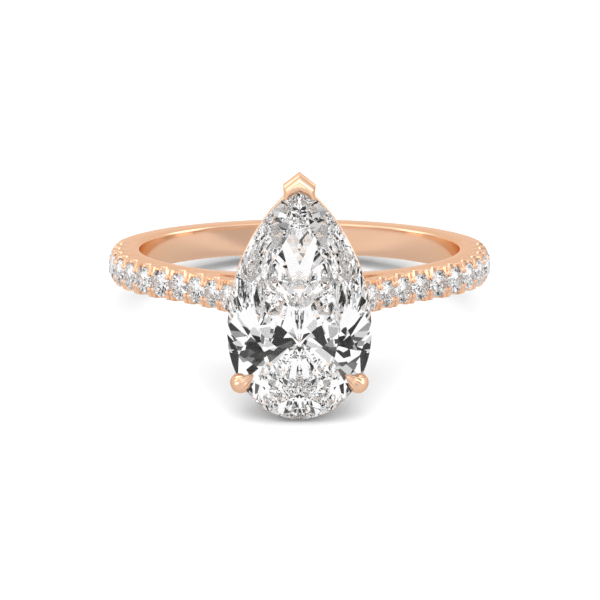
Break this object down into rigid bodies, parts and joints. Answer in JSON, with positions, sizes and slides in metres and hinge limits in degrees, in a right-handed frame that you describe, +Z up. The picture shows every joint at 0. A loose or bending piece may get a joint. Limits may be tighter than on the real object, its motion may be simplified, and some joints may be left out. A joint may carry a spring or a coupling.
{
  "type": "engagement ring",
  "caption": "Rose gold engagement ring with a pear diamond in a three-prong head on cathedral shoulders set with small round diamonds.",
  "frame": {"origin": "centre of the footprint's box on the table that the ring lies on", "axes": "+Z up; the ring lies on its side, with the head towards -Y and the pear's point up"},
  "size_m": [0.02, 0.0246, 0.0131],
  "materials": {
    "rose_gold": "polished",
    "diamond": "polished"
  },
  "bodies": {
    "root": {"shank": "rose_gold", "gallery_rail": "rose_gold", "base_rail": "rose_gold", "v_prong": "rose_gold", "claw_prong_left": "rose_gold", "claw_prong_right": "rose_gold", "pear_diamond": "diamond", "melee_diamond_left_01": "diamond", "melee_diamond_left_02": "diamond", "melee_diamond_left_03": "diamond", "melee_diamond_left_04": "diamond", "melee_diamond_left_05": "diamond", "melee_diamond_left_06": "diamond", "melee_diamond_left_07": "diamond", "melee_diamond_left_08": "diamond", "melee_diamond_left_09": "diamond", "melee_diamond_left_10": "diamond", "melee_diamond_left_11": "diamond", "melee_diamond_right_01": "diamond", "melee_diamond_right_02": "diamond", "melee_diamond_right_03": "diamond", "melee_diamond_right_04": "diamond", "melee_diamond_right_05": "diamond", "melee_diamond_right_06": "diamond", "melee_diamond_right_07": "diamond", "melee_diamond_right_08": "diamond", "melee_diamond_right_09": "diamond", "melee_diamond_right_10": "diamond", "melee_diamond_right_11": "diamond"}
  },
  "joints": []
}
